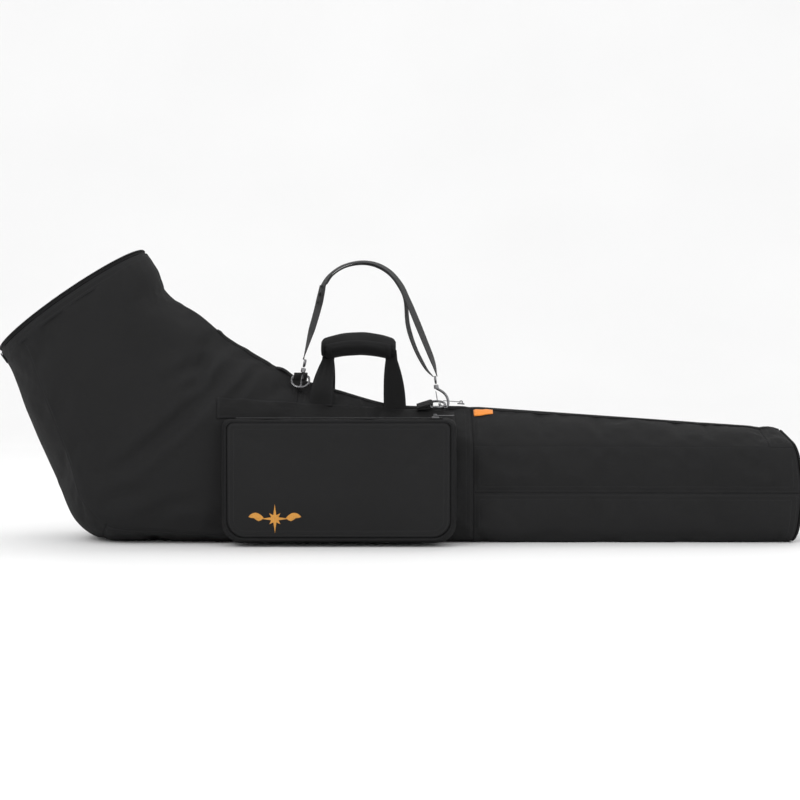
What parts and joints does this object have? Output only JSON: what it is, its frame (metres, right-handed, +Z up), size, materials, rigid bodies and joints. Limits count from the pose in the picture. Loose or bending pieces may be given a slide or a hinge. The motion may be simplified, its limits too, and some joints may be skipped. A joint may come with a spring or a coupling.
{
  "type": "padded carry case",
  "caption": "Long soft padded carry case with an upturned wide end, zipped lid, front pocket, webbing handle and clip-on shoulder strap.",
  "frame": {"origin": "on the floor plane, at mid-depth, under the middle of the pictured length", "axes": "+X to the straight tube end, -Y to the front with the pocket, +Z up"},
  "size_m": [1.3554, 0.3093, 0.4938],
  "materials": {
    "black_cloth": "matte",
    "black_webbing": "matte",
    "black_piping": "matte",
    "zip_tape": "matte",
    "dark_zinc": "satin",
    "bright_steel": "polished",
    "black_plastic": "satin",
    "orange_label": "matte",
    "gold_thread": "satin",
    "grey_lining": "matte",
    "grey_foam": "matte",
    "lid_stiffener": "matte"
  },
  "bodies": {
    "case": {"back_web_band": "black_webbing", "bell_back_panel": "black_cloth", "bell_front_panel": "black_cloth", "bell_under_panel": "black_cloth", "collar_zip_tape": "zip_tape", "front_web_band": "black_webbing", "handle_front_left_leg": "black_webbing", "handle_front_right_leg": "black_webbing", "handle_rear_left_leg": "black_webbing", "handle_rear_right_leg": "black_webbing", "left_ring_tab": "black_webbing", "lid_hinge_web": "black_webbing", "mouth_zip_band": "zip_tape", "neck_back_panel": "black_cloth", "neck_base_panel": "black_cloth", "neck_front_panel": "black_cloth", "pocket_gusset": "black_cloth", "pocket_zip_tape": "zip_tape", "ridge_zip_tape": "zip_tape", "right_ring_tab": "black_webbing", "tube_back_side_panel": "black_cloth", "tube_end_panel": "black_cloth", "tube_end_piping": "black_piping", "tube_front_side_panel": "black_cloth", "tube_lower_panel": "black_cloth", "tube_roof_collar": "black_cloth"},
    "bell_lid": {"lid_panel": "black_cloth", "lid_board": "lid_stiffener", "lid_padding": "grey_foam", "lid_lining": "grey_lining", "lid_piping": "black_piping"},
    "lid_slider": {"lid_zip_slider": "dark_zinc"},
    "lid_puller": {"lid_zip_puller": "dark_zinc"},
    "front_roof": {"tube_front_roof_panel": "black_cloth", "tube_front_zip_tape": "zip_tape", "label_tab": "orange_label"},
    "back_roof": {"tube_back_roof_panel": "black_cloth", "tube_back_zip_tape": "zip_tape"},
    "main_slider": {"main_zip_slider": "dark_zinc"},
    "main_puller": {"main_zip_puller": "dark_zinc"},
    "pocket_panel": {"pocket_front_panel": "black_cloth", "pocket_piping": "black_piping", "pocket_ornament": "gold_thread"},
    "pocket_slider": {"pocket_zip_slider": "dark_zinc"},
    "pocket_puller": {"pocket_zip_puller": "dark_zinc"},
    "handle_grip": {"grip_pad": "black_cloth", "grip_web_core": "black_webbing"},
    "grip_flap": {"grip_closure_flap": "black_piping"},
    "shoulder_strap": {"strap_web": "black_webbing", "strap_return_web": "black_webbing", "left_swivel_eye": "bright_steel", "right_swivel_eye": "bright_steel"},
    "left_ring": {"left_d_ring": "bright_steel"},
    "right_ring": {"right_d_ring": "bright_steel"},
    "left_hook": {"left_snap_hook": "bright_steel"},
    "right_hook": {"right_snap_hook": "bright_steel"},
    "left_gate": {"left_hook_gate": "bright_steel"},
    "right_gate": {"right_hook_gate": "bright_steel"},
    "adjuster": {"strap_adjuster": "black_plastic"}
  },
  "joints": [
    {"name": "lid_hinge", "type": "hinge", "parent": "case", "child": "bell_lid", "pos_m": [-0.67993, 0, 0.31152], "axis": [0, -1, 0], "range_deg": [0, 150]},
    {"name": "lid_zip_travel", "type": "hinge", "parent": "case", "child": "lid_slider", "pos_m": [-0.5545, 0, 0.4], "axis": [0.5764, 0, -0.8171], "range_deg": [0, 300]},
    {"name": "lid_puller_flip", "type": "hinge", "parent": "lid_slider", "child": "lid_puller", "pos_m": [-0.65831, 0.07797, 0.31637], "axis": [0.5764, 0, -0.8171], "range_deg": [0, 160]},
    {"name": "front_roof_flap", "type": "hinge", "parent": "case", "child": "front_roof", "pos_m": [0.1215, -0.09154, 0.1611], "axis": [1, 0, 0], "range_deg": [0, 150]},
    {"name": "back_roof_flap", "type": "hinge", "parent": "case", "child": "back_roof", "pos_m": [0.1215, 0.09154, 0.1611], "axis": [-1, 0, 0], "range_deg": [0, 150]},
    {"name": "main_zip_travel", "type": "slide", "parent": "case", "child": "main_slider", "axis": [0.9975, 0, -0.0703], "range_m": [0, 0.527]},
    {"name": "main_puller_flip", "type": "hinge", "parent": "main_slider", "child": "main_puller", "pos_m": [0.10529, 0, 0.23165], "axis": [0, 1, 0], "range_deg": [0, 160]},
    {"name": "pocket_panel_lean", "type": "hinge", "parent": "case", "child": "pocket_panel", "pos_m": [0, -0.157, 0.016], "axis": [1, 0, 0], "range_deg": [0, 22]},
    {"name": "pocket_zip_travel", "type": "slide", "parent": "case", "child": "pocket_slider", "axis": [-1, 0, 0], "range_m": [0, 0.314]},
    {"name": "pocket_puller_flip", "type": "hinge", "parent": "pocket_slider", "child": "pocket_puller", "pos_m": [0.057, -0.128, 0.2134], "axis": [0, -1, 0], "range_deg": [0, 160]},
    {"name": "grip_swing", "type": "hinge", "parent": "case", "child": "handle_grip", "pos_m": [-0.0705, 0, 0.24], "axis": [1, 0, 0], "range_deg": [-25, 25]},
    {"name": "grip_flap_opening", "type": "hinge", "parent": "handle_grip", "child": "grip_flap", "pos_m": [-0.0705, -0.02768, 0.33742], "axis": [-1, 0, 0], "range_deg": [0, 120]},
    {"name": "strap_swing", "type": "hinge", "parent": "case", "child": "shoulder_strap", "pos_m": [-0.1685, -0.036, 0.2575], "axis": [0.9915, 0.0567, -0.1174], "range_deg": [-10, 25]},
    {"name": "left_ring_swing", "type": "hinge", "parent": "case", "child": "left_ring", "pos_m": [-0.1685, -0.021, 0.2775], "axis": [-1, 0, 0], "range_deg": [0, 15]},
    {"name": "right_ring_swing", "type": "hinge", "parent": "case", "child": "right_ring", "pos_m": [0.0515, -0.022, 0.2285], "axis": [0, -0.9511, -0.309], "range_deg": [0, 25]},
    {"name": "left_hook_swivel", "type": "hinge", "parent": "shoulder_strap", "child": "left_hook", "pos_m": [-0.1631, -0.0475, 0.28396], "axis": [0.2, 0, 0.9798], "range_deg": [-6, 4]},
    {"name": "right_hook_swivel", "type": "hinge", "parent": "shoulder_strap", "child": "right_hook", "pos_m": [0.06175, -0.022, 0.2553], "axis": [-0.1203, 0, 0.9927], "range_deg": [-4, 8]},
    {"name": "left_gate_opening", "type": "hinge", "parent": "left_hook", "child": "left_gate", "pos_m": [-0.1639, -0.049, 0.28003], "axis": [0.9798, 0, -0.2], "range_deg": [0, 14], "stiffness_Nm_per_rad": 0.02},
    {"name": "right_gate_opening", "type": "hinge", "parent": "right_hook", "child": "right_gate", "pos_m": [0.06073, -0.022, 0.25133], "axis": [0, -1, 0], "range_deg": [0, 14], "stiffness_Nm_per_rad": 0.02},
    {"name": "adjuster_travel", "type": "slide", "parent": "shoulder_strap", "child": "adjuster", "axis": [-0.2425, 0, -0.9701], "range_m": [0, 0.025]}
  ]
}
